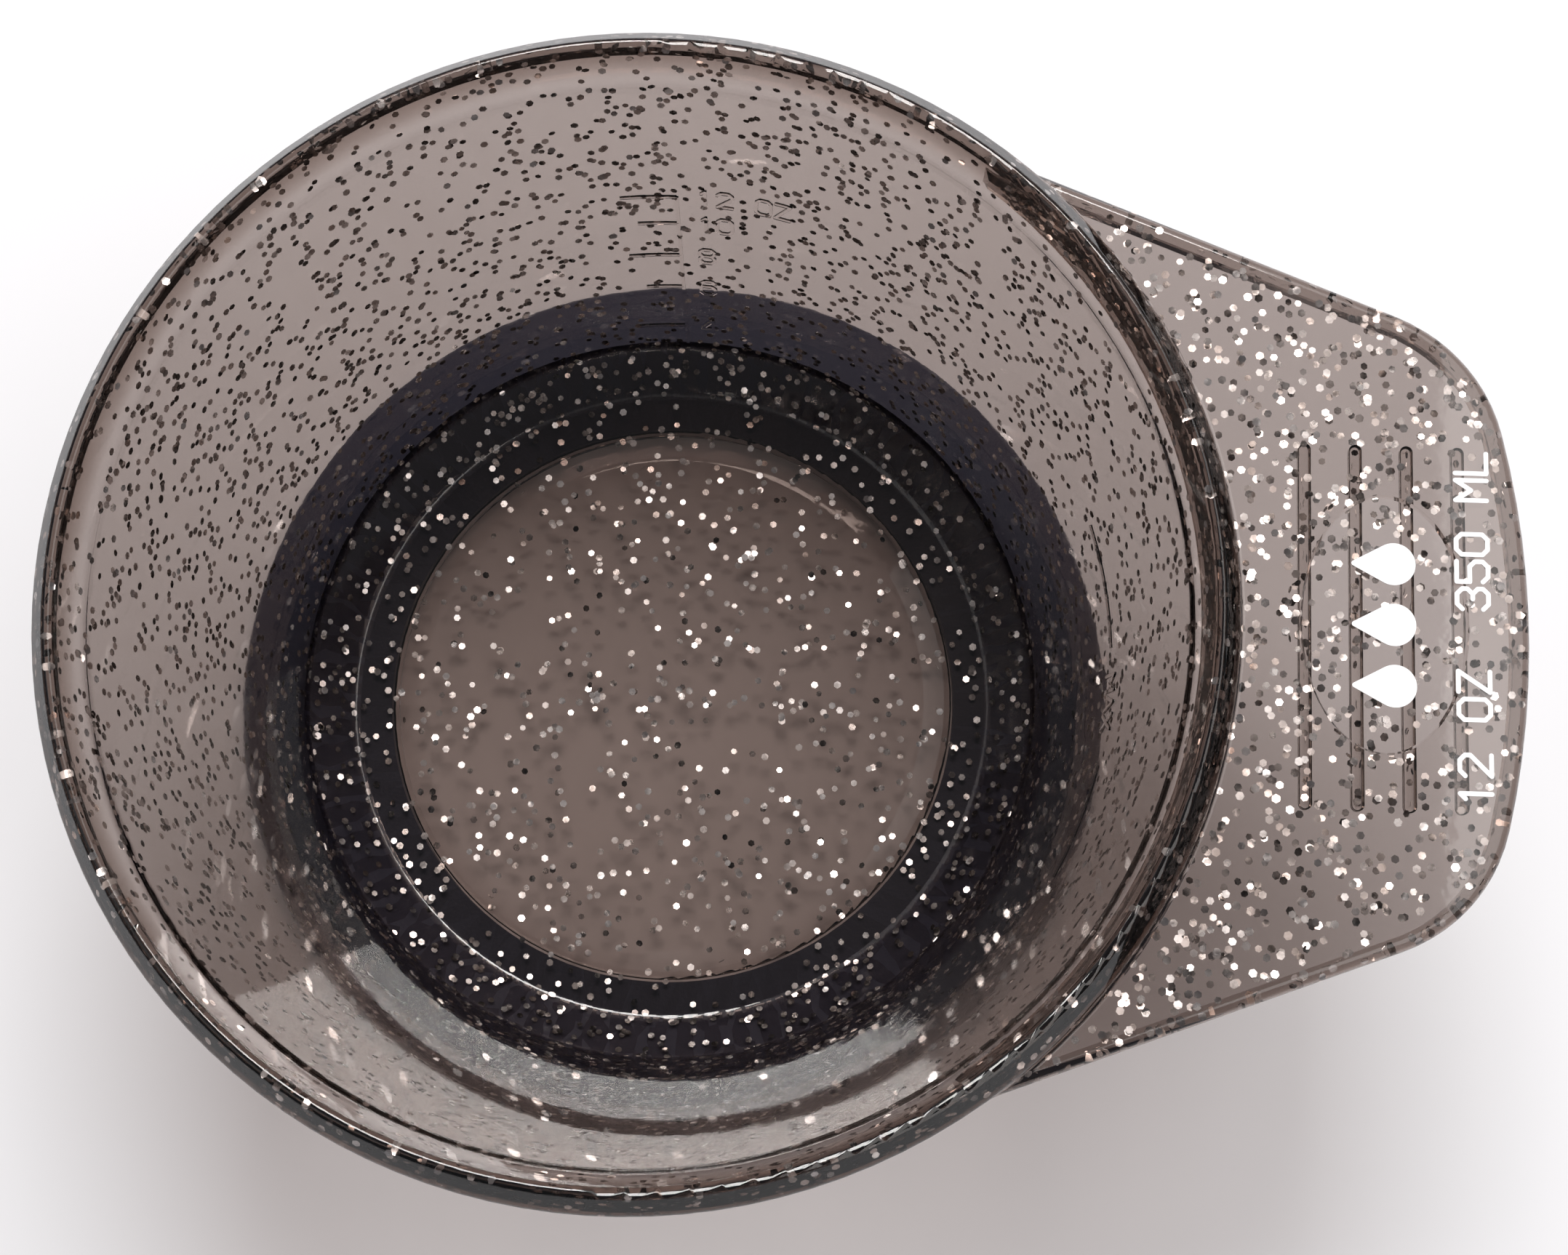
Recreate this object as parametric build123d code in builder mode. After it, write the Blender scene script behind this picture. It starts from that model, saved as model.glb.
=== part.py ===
from build123d import *
import os
from math import atan2, cos, degrees, radians, sin

# Hair colour mixing bowl with a thumb handle, on a rubber grip base.
# Units are millimetres. +Z is up, the bowl's axis is Z, the handle points along +X,
# and z = 0 is the surface that the rubber base stands on.

# ---- driving dimensions -----------------------------------------------------------------
RIM_R = 70.0  # outside of the rim band
CREST_Z = 74.8  # where the rim's inner face and sloping top would meet before rounding
RIM_EDGE_Z = 71.0  # where the rim's sloping top meets its outer face
BEAD_Z = 68.4  # lower edge of the rim bead's outer face
BEAD_FOOT_Z = 66.4  # where the bead's underside runs out into the wall
EDGE_Z = 65.0  # lower edge of the handle's turned-down edge
WALL = 1.8  # wall and floor thickness

FLOOR_Z = 5.0  # top of the flat floor over the rubber ring
FLOOR_CORNER_R = 49.0  # where the wall's straight line would meet the floor
COLLAR_R = 44.5  # where the flat floor ends and the sloping collar starts
COLLAR_Z = 9.35  # where the collar meets the wall, inside
COLLAR_FILLET = 1.0  # inside radius at both edges of the collar
SHOULDER_R, SHOULDER_Z = 64.9, 65.2  # top of the wall's straight taper, inside
BAND_IN_R, BAND_IN_Z = 65.4, 66.2  # foot of the stacking band, inside
SHOULDER_FILLET = 4.0
CREST_IN_R = 67.1  # inside of the rim at the crest

WELL_R = 38.4  # shallow well in the floor
WELL_STEP = 0.35  # sharp step at the well's edge
WELL_DEPTH = 0.9  # whole depth of the well
WELL_COVE = 3.2  # width of the sloping band inside the step
BOSS_R = 39.4  # round boss under the floor, which plugs into the rubber ring

BASE_R = 62.0  # outside of the rubber base
BASE_HOLE_R = 39.7  # hole in the rubber base
BASE_EDGE_H = 4.4  # height of its outer edge
BASE_TOP_Z = 9.4  # height at which it leaves the bowl's wall
BASE_EDGE_FILLET = 1.6
GROOVE_R = (46.0, 51.0, 56.0)  # grip grooves under the base
GROOVE_W, GROOVE_D = 1.4, 0.7

HANDLE_R = 103.5  # the handle's end is an arc about the bowl's axis
HANDLE_AXIS_Y = 72.1  # half width that the straight sides would have at the bowl's axis
HANDLE_TAPER = 0.39  # half width lost per unit of length
HANDLE_TOP_Z = 69.0
HANDLE_PLATE = 2.0
HANDLE_CORNER = 20.0
HANDLE_ROOT = 10.0
BEAD_BITE = 1.6  # how far the handle is rooted in the rim bead
ROOT_X = 41.0  # the handle's root fillets have run out into the rim here
HANDLE_EDGE = 1.3  # rounding of the handle's top edge

RIB_X = 86.7  # middle of the row of grip ribs and of the thumb rest
RIB_COUNT, RIB_PITCH = 4, 5.95
RIB_W, RIB_H, RIB_L = 1.5, 1.3, 43.4
RIB_ROUND = 0.55  # rounding of a rib's free edge
THUMB_A, THUMB_B, THUMB_DEPTH = 9.7, 15.3, 0.5  # oval thumb rest, half sizes and depth
THUMB_SLOPE = 0.6  # how far its side leans in per unit of depth

MARK_H = 0.3  # how far the graduations stand off the wall
MARK_W = 0.45
MARK_BITE = 0.4  # how deep a mark is rooted in the wall
SCALE_AZ = 89.5  # direction of the ounce scale
SCALE_FOOT_Z = 10.0
OUNCES = {4: (15.4, 7.4), 6: (24.7, 5.4), 8: (31.9, 7.2), 10: (38.9, 5.4), 12: (44.5, 7.2)}
FIGURE_H = 3.0
FIGURE_START = 3.6  # degrees from the scale's upright line to the middle of the first figure
FIGURE_PITCH = 2.5  # degrees from one figure to the next
FILL_LINE_Z = 40.2
FILL_LINE_ARCS = ((2.0, 16.0), (-28.0, 15.0))  # start and sweep of each arc, degrees
FILL_WORD_AZ = -5.0

EJECTOR_R, EJECTOR_AZ, EJECTOR_D = 33.1, 98.7, 2.4  # ejector pin's witness ring in the floor

FOIL_T = 0.1
FOIL_X = 96.8  # the line that the stamped capacity runs along
FOIL_TEXT = "12 OZ  350 ML"
FOIL_TEXT_H = 3.6
FOIL_PITCH = 0.9  # from one stamped character to the next, in heights
DROP_R, DROP_L = 2.5, 7.4  # stamped colour drops in the thumb rest
DROP_TIP_R = 0.3
DROP_PITCH = 7.2

# strokes of each character, on a cell CELL_W wide and CELL_H high
CELL_W, CELL_H = 4, 6
STROKE_SHARE = 0.15  # stroke width over height
ROUND = [(1, 0), (3, 0), (4, 1), (4, 5), (3, 6), (1, 6), (0, 5), (0, 1), (1, 0)]
STROKES = {
    "0": [ROUND],
    "O": [ROUND],
    "1": [[(1, 5), (2, 6), (2, 0)]],
    "2": [[(0, 5), (1, 6), (3, 6), (4, 5), (4, 4), (0, 0), (4, 0)]],
    "3": [
        [(0, 5), (1, 6), (3, 6), (4, 5), (4, 4), (3, 3), (4, 2), (4, 1), (3, 0), (1, 0), (0, 1)],
        [(2, 3), (3, 3)],
    ],
    "4": [[(3, 0), (3, 6), (0, 2), (4, 2)]],
    "5": [[(4, 6), (0, 6), (0, 3.5), (3, 3.5), (4, 2.5), (4, 1), (3, 0), (1, 0), (0, 1)]],
    "6": [[(4, 5), (3, 6), (1, 6), (0, 5), (0, 1), (1, 0), (3, 0), (4, 1), (4, 2.5), (3, 3.5), (0, 3.5)]],
    "8": [
        [(1, 3), (0, 4), (0, 5), (1, 6), (3, 6), (4, 5), (4, 4), (3, 3), (1, 3)],
        [(1, 3), (0, 2), (0, 1), (1, 0), (3, 0), (4, 1), (4, 2), (3, 3)],
    ],
    "A": [[(0, 0), (2, 6), (4, 0)], [(1, 2), (3, 2)]],
    "L": [[(0, 6), (0, 0), (4, 0)]],
    "M": [[(0, 0), (0, 6), (2, 3), (4, 6), (4, 0)]],
    "X": [[(0, 0), (4, 6)], [(0, 6), (4, 0)]],
    "Z": [[(0, 6), (4, 6), (0, 0), (4, 0)]],
}

os.makedirs("parts", exist_ok=True)

# ---- derived sizes ----------------------------------------------------------------------
wall_slope = (SHOULDER_R - FLOOR_CORNER_R) / (SHOULDER_Z - FLOOR_Z)
wall_shift = WALL * (1 + wall_slope**2) ** 0.5
floor_under = FLOOR_Z - WALL
well_z = FLOOR_Z - WELL_DEPTH


def wall_r(z):
    """Inside radius of the tapered wall at height z."""
    return FLOOR_CORNER_R + wall_slope * (z - FLOOR_Z)


def outer_corner(before, corner, after):
    """The outside corner opposite an inside one, a wall's thickness from both of its lines."""
    arriving = (Vector(corner) - Vector(before)).normalized()
    leaving = (Vector(after) - Vector(corner)).normalized()
    outward = Vector(arriving.Y + leaving.Y, -arriving.X - leaving.X).normalized()
    reach = WALL / outward.dot(Vector(arriving.Y, -arriving.X))
    return Vector(corner) + outward * reach


def wall_under_r(z):
    """Outside radius of the tapered wall at height z."""
    return wall_r(z) + wall_shift


def radial_plane(azimuth):
    """The plane through the bowl's axis in one direction: x is the radius and y is the height."""
    turn = radians(azimuth)
    return Plane(origin=(0, 0, 0), x_dir=(cos(turn), sin(turn), 0), z_dir=(sin(turn), -cos(turn), 0))


def wall_plane(azimuth, z):
    """A plane that touches the inside wall, facing the bowl's axis, with its y up the wall."""
    turn = radians(azimuth)
    out = Vector(cos(turn), sin(turn), 0)
    up = (out * wall_slope + Vector(0, 0, 1)).normalized()
    across = Vector(sin(turn), -cos(turn), 0)
    origin = out * wall_r(z) + Vector(0, 0, z)
    return Plane(origin=origin, x_dir=across, z_dir=across.cross(up))


def arc_section(azimuth, z):
    """Section of a raised line that runs round the wall at height z."""
    with BuildSketch(radial_plane(azimuth)) as line:
        with Locations((wall_r(z) + (MARK_BITE - MARK_H) / 2, z)):
            Rectangle(MARK_BITE + MARK_H, MARK_W)
    return line.sketch


def upright_mark(azimuth, low_z, high_z):
    """Outline of a line that runs up the wall."""
    length = (high_z - low_z) * (1 + wall_slope**2) ** 0.5
    with BuildSketch(wall_plane(azimuth, (low_z + high_z) / 2).offset(-MARK_BITE)) as line:
        Rectangle(MARK_W, length)
    return line.sketch


def character_shape(character, height):
    """A character drawn with strokes of even width, centred on its cell."""
    unit = height / CELL_H
    with BuildSketch() as shape:
        for stroke in STROKES[character]:
            for start, end in zip(stroke, stroke[1:]):
                run = Vector(end) - Vector(start)
                middle = ((Vector(start) + Vector(end)) / 2 - Vector(CELL_W, CELL_H) / 2) * unit
                angle = degrees(atan2(run.Y, run.X))
                with Locations(middle):
                    SlotCenterToCenter(run.length * unit, height * STROKE_SHARE, rotation=angle)
    return shape.sketch


def word(text, azimuth, z):
    """Outlines of letters side by side along the wall, each on its own flat."""
    letters = []
    for place, character in enumerate(text):
        if character != " ":
            spot = wall_plane(azimuth - place * FIGURE_PITCH, z).offset(-MARK_BITE)
            letters.append(spot * character_shape(character, FIGURE_H))
    return letters


# ---- handle blank: a tray turned upside down, open towards the bowl ------------------------
root_x = 20.0
root_half = HANDLE_AXIS_Y - HANDLE_TAPER * root_x
far_x = HANDLE_R * 1.1
far_half = HANDLE_AXIS_Y - HANDLE_TAPER * far_x

with BuildPart() as handle_blank:
    with BuildSketch(Plane.XY.offset(EDGE_Z)) as outline:
        with BuildLine():
            Polyline(
                (root_x, root_half),
                (far_x, far_half),
                (far_x, -far_half),
                (root_x, -root_half),
                close=True,
            )
        make_face()
        Circle(HANDLE_R, mode=Mode.INTERSECT)
        fillet(outline.vertices().group_by(Axis.X)[-1], HANDLE_CORNER)
        Circle(RIM_R - 0.05)
        root_corners = [
            outline.vertices().sort_by_distance((RIM_R * 0.606, side * RIM_R * 0.794))[0]
            for side in (1, -1)
        ]
        fillet(root_corners, HANDLE_ROOT)
    extrude(amount=HANDLE_TOP_Z - EDGE_Z)
    fillet(handle_blank.edges().group_by(Axis.Z)[-1], HANDLE_EDGE)

    # the hollow under the plate
    with BuildSketch(Plane.XY.offset(EDGE_Z)) as hollow:
        add(outline.sketch)
        offset(amount=-WALL)
        Circle(RIM_R, mode=Mode.SUBTRACT)
    extrude(amount=HANDLE_TOP_Z - HANDLE_PLATE - EDGE_Z, mode=Mode.SUBTRACT)

    # the bowl itself fills everything inside its rim bead
    with BuildSketch(Plane.XY.offset(EDGE_Z)):
        Circle(RIM_R - BEAD_BITE)
    extrude(amount=HANDLE_TOP_Z - EDGE_Z, mode=Mode.SUBTRACT)

    # away from the handle nothing hangs below the rim bead
    with Locations((ROOT_X, 0, EDGE_Z)):
        Box(
            2 * RIM_R,
            3 * RIM_R,
            HANDLE_TOP_Z - EDGE_Z,
            align=(Align.MAX, Align.CENTER, Align.MIN),
            mode=Mode.SUBTRACT,
        )

# ---- bowl: one moulding -------------------------------------------------------------------
collar_foot = (COLLAR_R, FLOOR_Z)
collar_head = (wall_r(COLLAR_Z), COLLAR_Z)
shoulder = (SHOULDER_R, SHOULDER_Z)
under_collar_foot = outer_corner((0, FLOOR_Z), collar_foot, collar_head)
under_collar_head = outer_corner(collar_foot, collar_head, shoulder)

with BuildPart() as bowl:
    with BuildSketch(Plane.XZ) as section:
        with BuildLine():
            Polyline(
                (0, well_z),
                (WELL_R - WELL_COVE, well_z),
                (WELL_R, FLOOR_Z - WELL_STEP),
                (WELL_R, FLOOR_Z),
                collar_foot,
                collar_head,
                shoulder,
                (BAND_IN_R, BAND_IN_Z),
                (CREST_IN_R, CREST_Z),
                (RIM_R, RIM_EDGE_Z),
                (RIM_R, BEAD_Z),
                (wall_under_r(BEAD_FOOT_Z), BEAD_FOOT_Z),
                under_collar_head,
                under_collar_foot,
                (BOSS_R, floor_under),
                (BOSS_R, well_z - WALL),
                (0, well_z - WALL),
                close=True,
            )
        make_face()

        def corner(r, z):
            """The section's corner nearest to radius r and height z."""
            return section.vertices().sort_by_distance((r, z))[0]

        fillet([corner(*collar_foot), corner(*collar_head)], COLLAR_FILLET)
        under_collar = [corner(end.X, end.Y) for end in (under_collar_foot, under_collar_head)]
        fillet(under_collar, COLLAR_FILLET + WALL)
        fillet([corner(*shoulder), corner(BAND_IN_R, BAND_IN_Z)], SHOULDER_FILLET)
        fillet(corner(CREST_IN_R, CREST_Z), 0.8)
        fillet(corner(RIM_R, RIM_EDGE_Z), 1.2)
        fillet(corner(RIM_R, BEAD_Z), 0.8)
        fillet(corner(wall_under_r(BEAD_FOOT_Z), BEAD_FOOT_Z), 2.0)
        fillet(corner(WELL_R - WELL_COVE, well_z), 4.0)
        fillet(corner(BOSS_R, well_z - WALL), 0.5)
    revolve(axis=Axis.Z)

    add(handle_blank.part)

    # rounded inside corner where the handle's plate meets the rim
    plate_root = (
        bowl.edges()
        .filter_by(GeomType.CIRCLE)
        .filter_by_position(Axis.Z, HANDLE_TOP_Z - 0.01, HANDLE_TOP_Z + 0.01)
        .filter_by(lambda e: abs(e.radius - RIM_R) < 0.01)
    )
    fillet(plate_root, 0.7)

    # grip ribs under the plate
    with BuildSketch(Plane.XY.offset(HANDLE_TOP_Z - HANDLE_PLATE)):
        with Locations((RIB_X, 0)):
            with GridLocations(RIB_PITCH, 0, RIB_COUNT, 1):
                SlotOverall(RIB_L, RIB_W, rotation=90)
    extrude(amount=-RIB_H)
    rib_foot_z = HANDLE_TOP_Z - HANDLE_PLATE - RIB_H
    rib_edges = bowl.edges().filter_by_position(Axis.Z, rib_foot_z - 0.01, rib_foot_z + 0.01)
    fillet(rib_edges.filter_by_position(Axis.X, RIM_R, HANDLE_R), RIB_ROUND)

    # thumb rest: a shallow oval dish with a flat floor
    for depth in (0, THUMB_DEPTH):
        with BuildSketch(Plane.XY.offset(HANDLE_TOP_Z - depth)):
            with Locations((RIB_X, 0)):
                Ellipse(THUMB_A - depth * THUMB_SLOPE, THUMB_B - depth * THUMB_SLOPE)
    loft(mode=Mode.SUBTRACT)

    # witness ring of the ejector pin
    with BuildSketch(Plane.XY.offset(well_z)):
        with PolarLocations(EJECTOR_R, 1, start_angle=EJECTOR_AZ):
            Circle(EJECTOR_D / 2)
            Circle(EJECTOR_D / 2 - MARK_BITE / 2, mode=Mode.SUBTRACT)
    extrude(amount=-MARK_BITE / 3, mode=Mode.SUBTRACT)

    # graduations, raised on the inside wall
    for ounces, (height, sweep) in OUNCES.items():
        revolve(arc_section(SCALE_AZ, height), axis=Axis.Z, revolution_arc=sweep)
        label = f"{ounces} OZ" if ounces == max(OUNCES) else str(ounces)
        for letter in word(label, SCALE_AZ - FIGURE_START, height):
            extrude(letter, amount=MARK_BITE + MARK_H)

    extrude(upright_mark(SCALE_AZ, SCALE_FOOT_Z, max(OUNCES.values())[0]), amount=MARK_BITE + MARK_H)

    for start, sweep in FILL_LINE_ARCS:
        revolve(arc_section(start, FILL_LINE_Z), axis=Axis.Z, revolution_arc=sweep)
    for letter in word("MAX", FILL_WORD_AZ + FIGURE_PITCH, FILL_LINE_Z):
        extrude(letter, amount=MARK_BITE + MARK_H)

# ---- grip base: a rubber ring that the bowl's foot is bedded in ---------------------------
with BuildPart() as grip_base:
    with BuildSketch(Plane.XZ) as base_section:
        with BuildLine():
            Polyline(
                (BASE_HOLE_R, 0),
                (BASE_R, 0),
                (BASE_R, BASE_EDGE_H),
                (wall_under_r(BASE_TOP_Z), BASE_TOP_Z),
                under_collar_head,
                under_collar_foot,
                (BASE_HOLE_R, floor_under),
                close=True,
            )
        make_face()

        def base_corner(r, z):
            """The ring section's corner nearest to radius r and height z."""
            return base_section.vertices().sort_by_distance((r, z))[0]

        base_collar = [base_corner(end.X, end.Y) for end in (under_collar_foot, under_collar_head)]
        fillet(base_collar, COLLAR_FILLET + WALL)
        fillet(base_corner(BASE_R, BASE_EDGE_H), BASE_EDGE_FILLET)
        fillet(base_corner(BASE_R, 0), BASE_EDGE_FILLET / 2)
    revolve(axis=Axis.Z)
    with BuildSketch():
        for radius in GROOVE_R:
            Circle(radius + GROOVE_W / 2)
            Circle(radius - GROOVE_W / 2, mode=Mode.SUBTRACT)
    extrude(amount=GROOVE_D, mode=Mode.SUBTRACT)

# ---- foil mark: hot-stamped foil on the handle ---------------------------------------------
with BuildSketch() as drop:
    with BuildLine():
        CenterArc((DROP_L / 2 - DROP_R, 0), DROP_R, 0, 360)
        CenterArc((DROP_TIP_R - DROP_L / 2, 0), DROP_TIP_R, 0, 360)
    make_hull()

with BuildPart() as foil_mark:
    with BuildSketch(Plane.XY.offset(HANDLE_TOP_Z)):
        for place, character in enumerate(FOIL_TEXT):
            if character != " ":
                along = (place - (len(FOIL_TEXT) - 1) / 2) * FOIL_TEXT_H * FOIL_PITCH
                with Locations(Location((FOIL_X, along, 0), (0, 0, 90))):
                    add(character_shape(character, FOIL_TEXT_H))
    extrude(amount=FOIL_T)

    with BuildSketch(Plane.XY.offset(HANDLE_TOP_Z - THUMB_DEPTH)):
        with Locations(*[(RIB_X, step * DROP_PITCH) for step in (-1, 0, 1)]):
            add(drop.sketch)
    extrude(amount=FOIL_T)

for piece, name in ((bowl, "bowl"), (grip_base, "grip_base"), (foil_mark, "foil_mark")):
    piece.part.label = name
    export_step(piece.part, f"parts/{name}.step")
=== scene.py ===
# %% [markdown]
# # A glitter mixing bowl
# This lesson dresses a hair colour mixing bowl. Its shape is already made: one clear plastic
# moulding, one rubber ring under it, and a stamped foil mark. What is left is what the eye
# notices first, which is smoky see-through plastic with thousands of silver flakes inside it.

import math
import random

import bmesh
import bpy
from mathutils import Euler, Matrix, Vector
from mathutils.bvhtree import BVHTree


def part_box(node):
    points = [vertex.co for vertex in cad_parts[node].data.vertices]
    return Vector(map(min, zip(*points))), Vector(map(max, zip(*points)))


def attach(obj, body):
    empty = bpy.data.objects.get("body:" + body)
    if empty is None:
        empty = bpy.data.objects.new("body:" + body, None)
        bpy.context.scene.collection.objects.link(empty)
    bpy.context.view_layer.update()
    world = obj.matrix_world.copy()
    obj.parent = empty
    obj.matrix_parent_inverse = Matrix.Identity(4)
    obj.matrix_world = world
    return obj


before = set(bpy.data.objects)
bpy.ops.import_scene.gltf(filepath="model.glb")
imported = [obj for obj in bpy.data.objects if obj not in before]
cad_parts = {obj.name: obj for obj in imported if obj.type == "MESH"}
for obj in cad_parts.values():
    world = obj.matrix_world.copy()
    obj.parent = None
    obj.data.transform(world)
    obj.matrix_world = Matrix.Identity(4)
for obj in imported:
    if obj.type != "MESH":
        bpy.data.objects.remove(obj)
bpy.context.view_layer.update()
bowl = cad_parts["bowl"]
rubber_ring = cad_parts["grip_base"]
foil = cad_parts["foil_mark"]
MM = 0.001
print("nodes:", sorted(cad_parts))

# %% [markdown]
# ## Uneven gloss, shared by every finish
# Moulded plastic, rubber and foil are never evenly glossy. A group holds that effect once: soft
# cloudy patches for handling, and a fine grain for the mould's own texture. It gives out only a
# roughness and a height, so each material keeps its own shader and sets its own amounts.


# %% A helper that adds a node
def add_node(tree, kind, **settings):
    """Adds a node and sets its properties by name."""
    node = tree.nodes.new(kind)
    for key, value in settings.items():
        setattr(node, key, value)
    return node


# %% The uneven gloss group
def make_uneven_gloss():
    group = bpy.data.node_groups.new("uneven_gloss", "ShaderNodeTree")
    for label, default in (
        ("Patch Scale", 60.0),
        ("Grain Scale", 1500.0),
        ("Smoothest", 0.05),
        ("Roughest", 0.15),
    ):
        socket = group.interface.new_socket(label, in_out="INPUT", socket_type="NodeSocketFloat")
        socket.default_value = default
    for label in ("Roughness", "Height"):
        group.interface.new_socket(label, in_out="OUTPUT", socket_type="NodeSocketFloat")
    inside = add_node(group, "NodeGroupInput")
    outside = add_node(group, "NodeGroupOutput")
    place = add_node(group, "ShaderNodeTexCoord")
    patches = add_node(group, "ShaderNodeTexNoise")
    patches.inputs["Detail"].default_value = 4.0
    grain = add_node(group, "ShaderNodeTexNoise")
    grain.inputs["Detail"].default_value = 3.0
    spread = add_node(group, "ShaderNodeMapRange")
    spread.inputs["From Min"].default_value = 0.35
    spread.inputs["From Max"].default_value = 0.65
    link = group.links.new
    link(place.outputs["Object"], patches.inputs["Vector"])
    link(place.outputs["Object"], grain.inputs["Vector"])
    link(inside.outputs["Patch Scale"], patches.inputs["Scale"])
    link(inside.outputs["Grain Scale"], grain.inputs["Scale"])
    link(patches.outputs["Fac"], spread.inputs["Value"])
    link(inside.outputs["Smoothest"], spread.inputs["To Min"])
    link(inside.outputs["Roughest"], spread.inputs["To Max"])
    link(spread.outputs["Result"], outside.inputs["Roughness"])
    link(grain.outputs["Fac"], outside.inputs["Height"])
    return group


uneven_gloss = make_uneven_gloss()
print("group sockets:", [item.name for item in uneven_gloss.interface.items_tree])


# %% A finish that uses the group
def new_finish(name, gloss, bump_strength, bump_height):
    """A Principled material whose roughness and bump come from the uneven gloss group."""
    finish = bpy.data.materials.new(name)
    finish.use_nodes = True
    tree = finish.node_tree
    shader = tree.nodes["Principled BSDF"]
    group = add_node(tree, "ShaderNodeGroup", node_tree=uneven_gloss)
    for label, value in gloss.items():
        group.inputs[label].default_value = value
    bump = add_node(tree, "ShaderNodeBump")
    bump.inputs["Strength"].default_value = bump_strength
    bump.inputs["Distance"].default_value = bump_height
    tree.links.new(group.outputs["Roughness"], shader.inputs["Roughness"])
    tree.links.new(group.outputs["Height"], bump.inputs["Height"])
    tree.links.new(bump.outputs["Normal"], shader.inputs["Normal"])
    return finish, tree, shader


# %% [markdown]
# ## Smoky clear plastic
# The bowl is clear plastic tinted grey-brown. Transmission lets the eye through. Part of the tint is
# in the base colour, and the rest is a Volume Absorption, which takes more off a longer path, so
# rims and edges go dark as they do in real plastic. A lamp's light would be slow to find its way
# through a solid like this, so shadow rays and rays that bounce off dull surfaces meet a plain
# tinted Transparent shader instead. Table and flakes are then lit through the wall without grain.

# %% Smoky clear plastic
smoky_plastic, tree, shader = new_finish(
    "smoky_clear_plastic",
    {"Patch Scale": 45.0, "Grain Scale": 220.0, "Smoothest": 0.015, "Roughest": 0.05},
    0.05,
    0.0002,
)
shader.inputs["Base Color"].default_value = (0.62, 0.575, 0.56, 1)
shader.inputs["Transmission Weight"].default_value = 1.0
shader.inputs["IOR"].default_value = 1.53
depth_tint = add_node(tree, "ShaderNodeVolumeAbsorption")
depth_tint.inputs["Color"].default_value = (0.42, 0.31, 0.25, 1)
depth_tint.inputs["Density"].default_value = 380.0
tree.links.new(depth_tint.outputs[0], tree.nodes["Material Output"].inputs["Volume"])

# %% Let soft rays pass straight through the plastic
light_path = add_node(tree, "ShaderNodeLightPath")
soft_rays = add_node(tree, "ShaderNodeMath", operation="MAXIMUM")
let_through = add_node(tree, "ShaderNodeBsdfTransparent")
let_through.inputs["Color"].default_value = (0.88, 0.86, 0.85, 1)
mix = add_node(tree, "ShaderNodeMixShader")
tree.links.new(light_path.outputs["Is Shadow Ray"], soft_rays.inputs[0])
tree.links.new(light_path.outputs["Is Diffuse Ray"], soft_rays.inputs[1])
tree.links.new(soft_rays.outputs[0], mix.inputs["Fac"])
tree.links.new(shader.outputs[0], mix.inputs[1])
tree.links.new(let_through.outputs[0], mix.inputs[2])
tree.links.new(mix.outputs[0], tree.nodes["Material Output"].inputs["Surface"])
bowl.data.materials[0] = smoky_plastic
print("plastic on", bowl.name)

# %% [markdown]
# ## Rubber and foil
# The ring is a soft rubber: blue, but nearly black, with a broad soft shine and a fine tooth.
# The foil is an opaque white film, pressed flat by a hot die, so it is smoother than rubber
# but still shows the die's faint unevenness.

# %% Rubber and foil
rubber, _tree, shader = new_finish(
    "black_grip_rubber",
    {"Patch Scale": 70.0, "Grain Scale": 2200.0, "Smoothest": 0.42, "Roughest": 0.6},
    0.35,
    0.0001,
)
shader.inputs["Base Color"].default_value = (0.025, 0.03, 0.06, 1)
shader.inputs["IOR"].default_value = 1.5
rubber_ring.data.materials[0] = rubber

stamped_foil, _tree, shader = new_finish(
    "stamped_white_foil",
    {"Patch Scale": 300.0, "Grain Scale": 2600.0, "Smoothest": 0.18, "Roughest": 0.38},
    0.15,
    0.00005,
)
shader.inputs["Base Color"].default_value = (0.93, 0.93, 0.94, 1)
foil.data.materials[0] = stamped_foil
print("rubber on", rubber_ring.name, "and foil on", foil.name)

# %% [markdown]
# ## Silver flakes
# Glitter is cut from metallised film, so each flake is a flat hexagon, about a millimetre wide.
# Paint or bump can't imitate it: a real flake flashes when it faces the lamp and is a dark spot
# when the light is behind it. So each one is modelled, as a thin six-sided prism, and mirror-like
# metal does the rest. A noise pattern makes some of them duller than others.

# %% Silver flake finish
silver_flake, tree, shader = new_finish(
    "silver_flake",
    {"Patch Scale": 900.0, "Grain Scale": 4000.0, "Smoothest": 0.12, "Roughest": 0.3},
    0.1,
    0.00002,
)
shader.inputs["Metallic"].default_value = 1.0
place = add_node(tree, "ShaderNodeTexCoord")
batch = add_node(tree, "ShaderNodeTexNoise")
batch.inputs["Scale"].default_value = 700.0
tint = add_node(tree, "ShaderNodeValToRGB")
tint.color_ramp.elements[0].position = 0.38
tint.color_ramp.elements[0].color = (0.78, 0.77, 0.76, 1)
tint.color_ramp.elements[1].position = 0.55
tint.color_ramp.elements[1].color = (0.98, 0.98, 0.98, 1)
tree.links.new(place.outputs["Object"], batch.inputs["Vector"])
tree.links.new(batch.outputs["Fac"], tint.inputs["Fac"])
tree.links.new(tint.outputs["Color"], shader.inputs["Base Color"])

# %% [markdown]
# ## Where the flakes go
# The flakes flow with the melt, so they lie nearly flat in the wall. Points are picked evenly
# over the bowl's own skin. From each point a ray goes inwards to measure how thick the plastic is
# there, and the flake is set somewhere in that thickness, tilted a little. A flake that would
# come out through a nearby face is left out. A fixed seed gives the same flakes each time.

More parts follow.
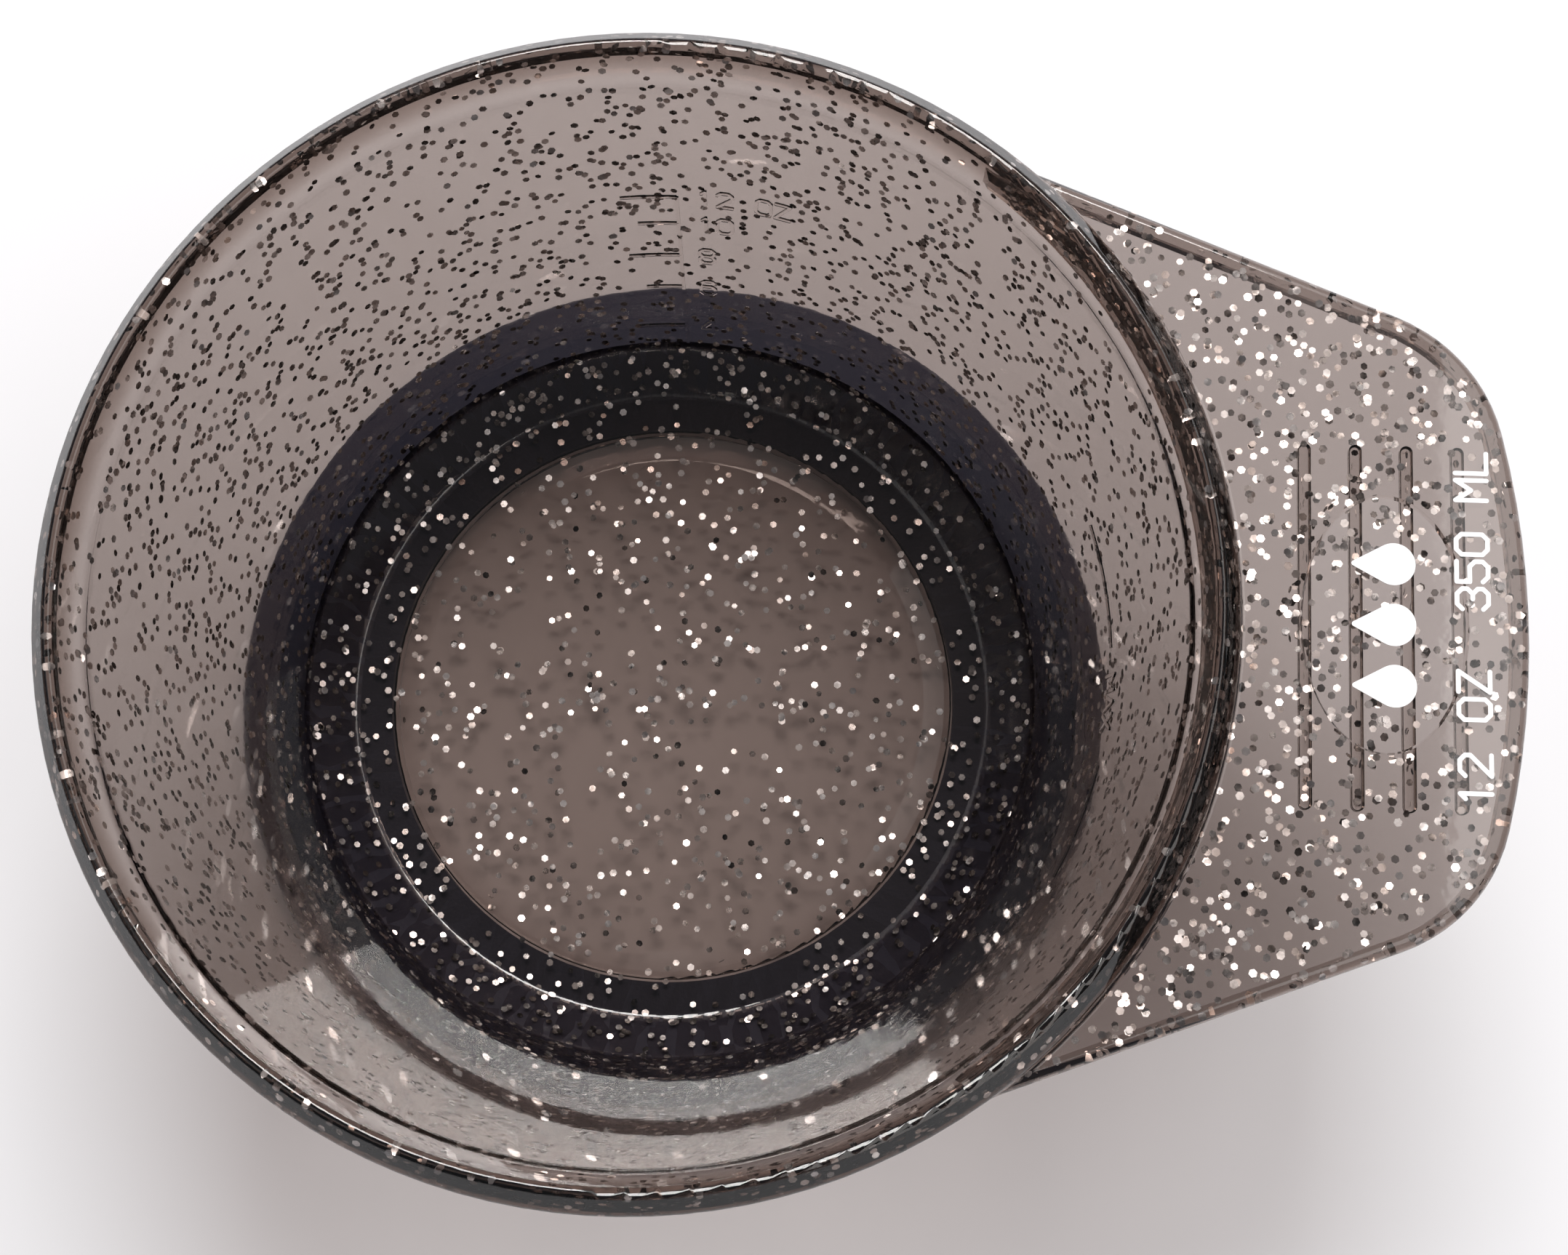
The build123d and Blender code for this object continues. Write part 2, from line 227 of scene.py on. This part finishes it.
# %% Sort the bowl's skin into regions
skin = BVHTree.FromObject(bowl, bpy.context.evaluated_depsgraph_get())
_low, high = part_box("bowl")
rim_radius = high.y
RIM_SLACK = 0.2 * MM
HANDLE_FROM_X = 0.03
RIM_FOOT_Z = 65.5 * MM
FLOOR_EDGE_R = 44.5 * MM
FLOOR_BELOW_Z = 6 * MM


def region_of(point):
    """Names the part of the bowl that a point belongs to."""
    radius = math.hypot(point.x, point.y)
    if radius > rim_radius - RIM_SLACK and point.x > HANDLE_FROM_X:
        return "handle"
    if point.z > RIM_FOOT_Z:
        return "rim"
    if radius < FLOOR_EDGE_R and point.z < FLOOR_BELOW_Z:
        return "floor"
    return "wall"


bowl.data.calc_loop_triangles()
corners = [vertex.co.copy() for vertex in bowl.data.vertices]
skin_triangles = {"handle": [], "rim": [], "floor": [], "wall": []}
for triangle in bowl.data.loop_triangles:
    a, b, c = (corners[index] for index in triangle.vertices)
    skin_triangles[region_of((a + b + c) / 3)].append((a, b, c, triangle.area))
for name, found in skin_triangles.items():
    print(name, len(found), "triangles", round(sum(f[3] for f in found) * 1e6), "mm2 of skin")

# %% Find a place for each flake
THINNEST = 0.8 * MM  # plastic thinner than this gets no flakes
COVER = 0.28 * MM  # plastic left over a flake's middle
DEEPEST = 2.2 * MM  # how far in from the skin a flake may lie
NEAREST_SKIN = 0.22 * MM
EDGE_REACH = 0.55 * MM  # nearer than this, the nearest face has to be the flake's own
OWN_FACE = 0.9
FLAKE_SIZES = (0.85, 1.1)
RAY_START = 1e-5


def flake_places(region, per_mm2, tilt_degrees, seed):
    """Matrices for the flakes of one region."""
    dice = random.Random(seed)
    found = skin_triangles[region]
    # each bit of wall is met from both of its faces, so half the count comes from each
    count = round(sum(f[3] for f in found) * 1e6 * per_mm2 / 2)
    places = []
    for a, b, c, _area in dice.choices(found, weights=[f[3] for f in found], k=count):
        u, v = dice.random(), dice.random()
        if u + v > 1:
            u, v = 1 - u, 1 - v
        start = a + (b - a) * u + (c - a) * v
        inward = -(b - a).cross(c - a).normalized()
        _hit, _normal, _index, thickness = skin.ray_cast(start + inward * RAY_START, inward)
        if thickness is None or thickness < THINNEST:
            continue
        centre = start + inward * dice.uniform(COVER, min(thickness, DEEPEST) - COVER)
        _near, near_normal, _index, gap = skin.find_nearest(centre)
        if gap < NEAREST_SKIN or (gap < EDGE_REACH and abs(near_normal.dot(inward)) < OWN_FACE):
            continue
        lie = inward.to_track_quat("Z", "Y").to_matrix().to_4x4()
        tilt = math.radians(tilt_degrees)
        wobble = Euler((dice.gauss(0, tilt), dice.gauss(0, tilt), dice.uniform(0, math.tau)))
        size = dice.uniform(*FLAKE_SIZES)
        turn = lie @ wobble.to_matrix().to_4x4()
        places.append(Matrix.Translation(centre) @ turn @ Matrix.Scale(size, 4))
    return places


# %% One flake
FLAKE_RADIUS = 0.5 * MM
FLAKE_THICKNESS = 0.03 * MM


def one_flake():
    """A single thin hexagon, which every region stamps again and again."""
    work = bmesh.new()
    bmesh.ops.create_cone(
        work,
        cap_ends=True,
        segments=6,
        radius1=FLAKE_RADIUS,
        radius2=FLAKE_RADIUS,
        depth=FLAKE_THICKNESS,
    )
    mesh = bpy.data.meshes.new("one_flake")
    work.to_mesh(mesh)
    work.free()
    return mesh


flake_stamp = one_flake()
print("one flake has", len(flake_stamp.vertices), "corners")


# %% Fill each region with flakes
def build_flakes(region, per_mm2, tilt_degrees, seed):
    places = flake_places(region, per_mm2, tilt_degrees, seed)
    work = bmesh.new()
    for matrix in places:
        stamped = flake_stamp.copy()
        stamped.transform(matrix)
        work.from_mesh(stamped)
        bpy.data.meshes.remove(stamped)
    mesh = bpy.data.meshes.new("flakes_" + region)
    work.to_mesh(mesh)
    work.free()
    mesh.materials.append(silver_flake)
    piece = bpy.data.objects.new("flakes_" + region, mesh)
    bpy.context.scene.collection.objects.link(piece)
    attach(piece, "root")
    print(piece.name, len(places), "flakes")
    return piece


build_flakes("floor", 0.16, 10.0, 11)
build_flakes("wall", 0.27, 9.0, 12)
build_flakes("rim", 0.24, 10.0, 13)
build_flakes("handle", 0.46, 10.0, 14)
bpy.data.meshes.remove(flake_stamp)

# %% [markdown]
# ## Table, light and camera
# Mirror-like flakes show whatever is around them, so the light matters as much as the metal. One
# lamp straight overhead would mirror in the flat floor and the handle and veil the plastic. So
# broad panels stand round a dim middle: a tilted flake catches one and flashes, the polished
# flats mirror the dim middle, and the flakes in the steep wall stay dark. The far and right
# panels do most of the lighting, so a soft shadow falls to the near left. The table is pale.

# %% Table
TABLE_HALF = 3.0
work = bmesh.new()
bmesh.ops.create_grid(work, x_segments=1, y_segments=1, size=TABLE_HALF)
table_mesh = bpy.data.meshes.new("table_top")
work.to_mesh(table_mesh)
work.free()
table_top = bpy.data.objects.new("table_top", table_mesh)
bpy.context.scene.collection.objects.link(table_top)
table_finish = bpy.data.materials.new("pale_table")
table_finish.use_nodes = True
shader = table_finish.node_tree.nodes["Principled BSDF"]
shader.inputs["Base Color"].default_value = (0.86, 0.855, 0.875, 1)
shader.inputs["Roughness"].default_value = 0.85
table_mesh.materials.append(table_finish)
print("table is", 2 * TABLE_HALF, "m wide")


# %% Lamps and room
def softbox(name, place, size, watts, colour):
    """A long area lamp overhead that faces straight down."""
    lamp = bpy.data.lights.new(name, "AREA")
    lamp.shape = "RECTANGLE"
    lamp.size, lamp.size_y = size
    lamp.energy = watts
    lamp.color = colour
    holder = bpy.data.objects.new(name, lamp)
    holder.location = place
    bpy.context.scene.collection.objects.link(holder)
    holder.visible_camera = False
    print(name, "at", place, "m,", watts, "W")
    return holder


LAMP_HEIGHT = 1.3
DIM_X, DIM_Y = (-0.33, 0.38), (0.0, 0.56)  # the dim middle that the flats mirror
PANEL = 0.75
WATTS_PER_M2 = {"left": 1.5, "right": 6.5, "near": 0.5, "far": 50.0}
LAMP_COLOUR = (1.0, 0.985, 0.97)
across, along = DIM_X[1] - DIM_X[0], DIM_Y[1] - DIM_Y[0]
middle_x, middle_y = sum(DIM_X) / 2, sum(DIM_Y) / 2
for side, sign in (("left", -1), ("right", 1)):
    size = (PANEL, along + 2 * PANEL)
    place = (middle_x + sign * (across + PANEL) / 2, middle_y, LAMP_HEIGHT)
    softbox("panel_" + side, place, size, WATTS_PER_M2[side] * size[0] * size[1], LAMP_COLOUR)
for side, sign in (("near", -1), ("far", 1)):
    size = (across, PANEL)
    place = (middle_x, middle_y + sign * (along + PANEL) / 2, LAMP_HEIGHT)
    softbox("panel_" + side, place, size, WATTS_PER_M2[side] * size[0] * size[1], LAMP_COLOUR)
room = bpy.data.worlds.new("dim_room")
room.use_nodes = True
room.node_tree.nodes["Background"].inputs["Color"].default_value = (0.93, 0.94, 1.0, 1)
room.node_tree.nodes["Background"].inputs["Strength"].default_value = 0.15
scene = bpy.context.scene
scene.world = room
scene.view_settings.view_transform = "Standard"

# %% Camera
lens = bpy.data.cameras.new("camera")
lens.lens = 58.44
lens.sensor_width = 36
lens.clip_start = 0.01
camera = bpy.data.objects.new("camera", lens)
camera.location = (0.02652, -0.06326, 0.35753)
camera.rotation_euler = tuple(math.radians(turn) for turn in (11.897, 1.331, 2.2))
scene.collection.objects.link(camera)
scene.camera = camera
print("camera stands", round(camera.location.z, 3), "m over the table")
